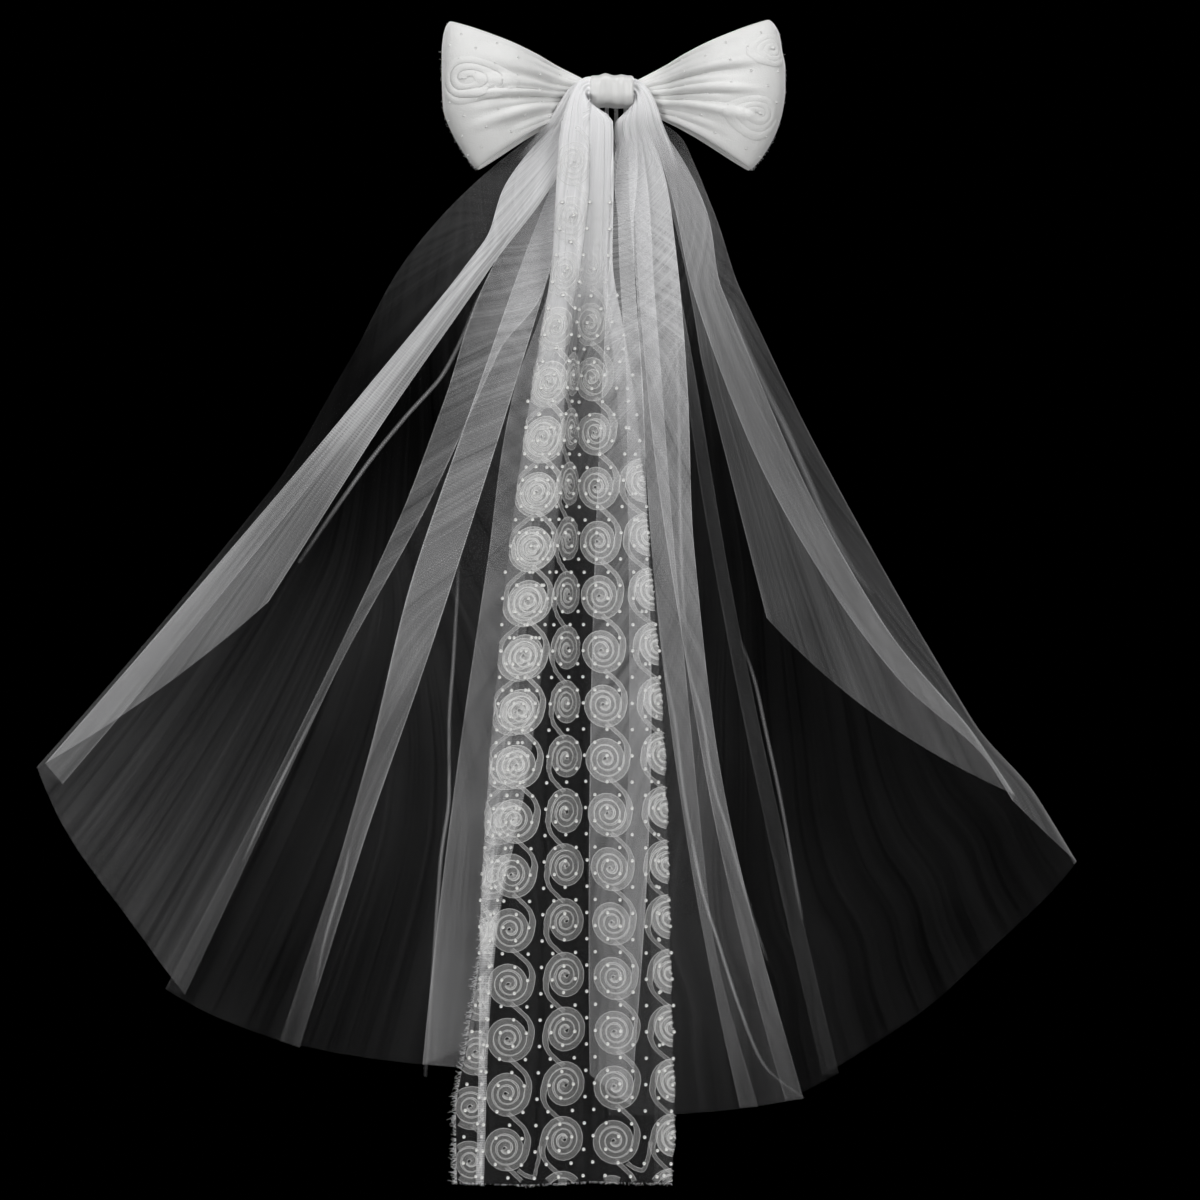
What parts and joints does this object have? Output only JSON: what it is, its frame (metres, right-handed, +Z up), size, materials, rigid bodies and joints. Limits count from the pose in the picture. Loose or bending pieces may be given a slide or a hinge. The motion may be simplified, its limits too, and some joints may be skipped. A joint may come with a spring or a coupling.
{
  "type": "bridal veil with a hair bow",
  "caption": "Bridal veil held by a hair comb: a padded bow with a satin knot, a wide pleated tulle fall and a front panel of ribbon-rosette lace.",
  "frame": {"origin": "middle of the comb's flat back, where the veil pins on", "axes": "+Z up, the fall hangs towards -Z, and the front faces -Y"},
  "size_m": [0.6675, 0.061, 0.7507],
  "materials": {
    "bow_cloth": "satin",
    "satin": "satin",
    "tulle": "matte",
    "lace_net": "matte",
    "ribbon": "satin",
    "comb": "gloss"
  },
  "bodies": {
    "root": {"bow_left_loop": "bow_cloth", "bow_right_loop": "bow_cloth", "knot_band": "satin", "veil_tulle": "tulle", "lace_panel": "lace_net", "hair_comb": "comb", "rosette_column_1": "ribbon", "rosette_column_2": "ribbon", "rosette_column_3": "ribbon", "rosette_column_4": "ribbon"}
  },
  "joints": []
}
